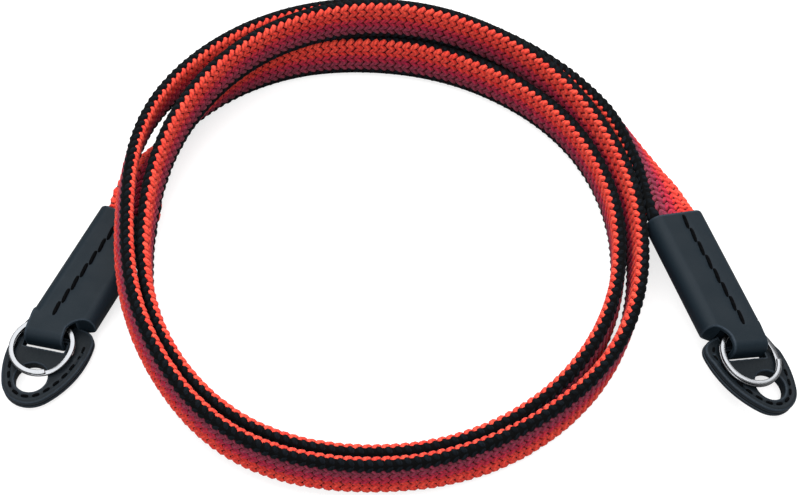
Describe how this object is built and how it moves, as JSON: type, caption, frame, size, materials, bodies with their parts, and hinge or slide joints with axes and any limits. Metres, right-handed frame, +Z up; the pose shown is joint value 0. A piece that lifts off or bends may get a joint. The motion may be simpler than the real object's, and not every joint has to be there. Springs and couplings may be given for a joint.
{
  "type": "camera strap",
  "caption": "Flat knitted rope camera strap lying coiled on edge, with a stitched leather sleeve, a split ring and a leather lug protector flap at each end.",
  "frame": {"origin": "middle of the lying strap's box, on the ground plane", "axes": "+X to the right end as lying, +Y away from the two ends, +Z up"},
  "size_m": [0.1672, 0.1214, 0.0237],
  "materials": {
    "knit": "soft knit in bands of red, red-orange, crimson, brown and black",
    "leather": "matte smooth black leather",
    "steel": "polished"
  },
  "bodies": {
    "strap": {"rope": "knit", "sleeve_left": "leather", "sleeve_right": "leather", "flap_left": "leather", "flap_right": "leather"},
    "ring_left": {"ring_left": "steel"},
    "ring_right": {"ring_right": "steel"}
  },
  "joints": [
    {"name": "ring_left_swing", "type": "hinge", "parent": "strap", "child": "ring_left", "pos_m": [-0.07434, -0.0236, 0.00404], "axis": [-0.9741, 0.2242, -0.0309], "range_deg": [0, 90]},
    {"name": "ring_right_swing", "type": "hinge", "parent": "strap", "child": "ring_right", "pos_m": [0.07257, -0.02727, 0.00621], "axis": [-0.9164, -0.2523, 0.3107], "range_deg": [0, 90]}
  ]
}
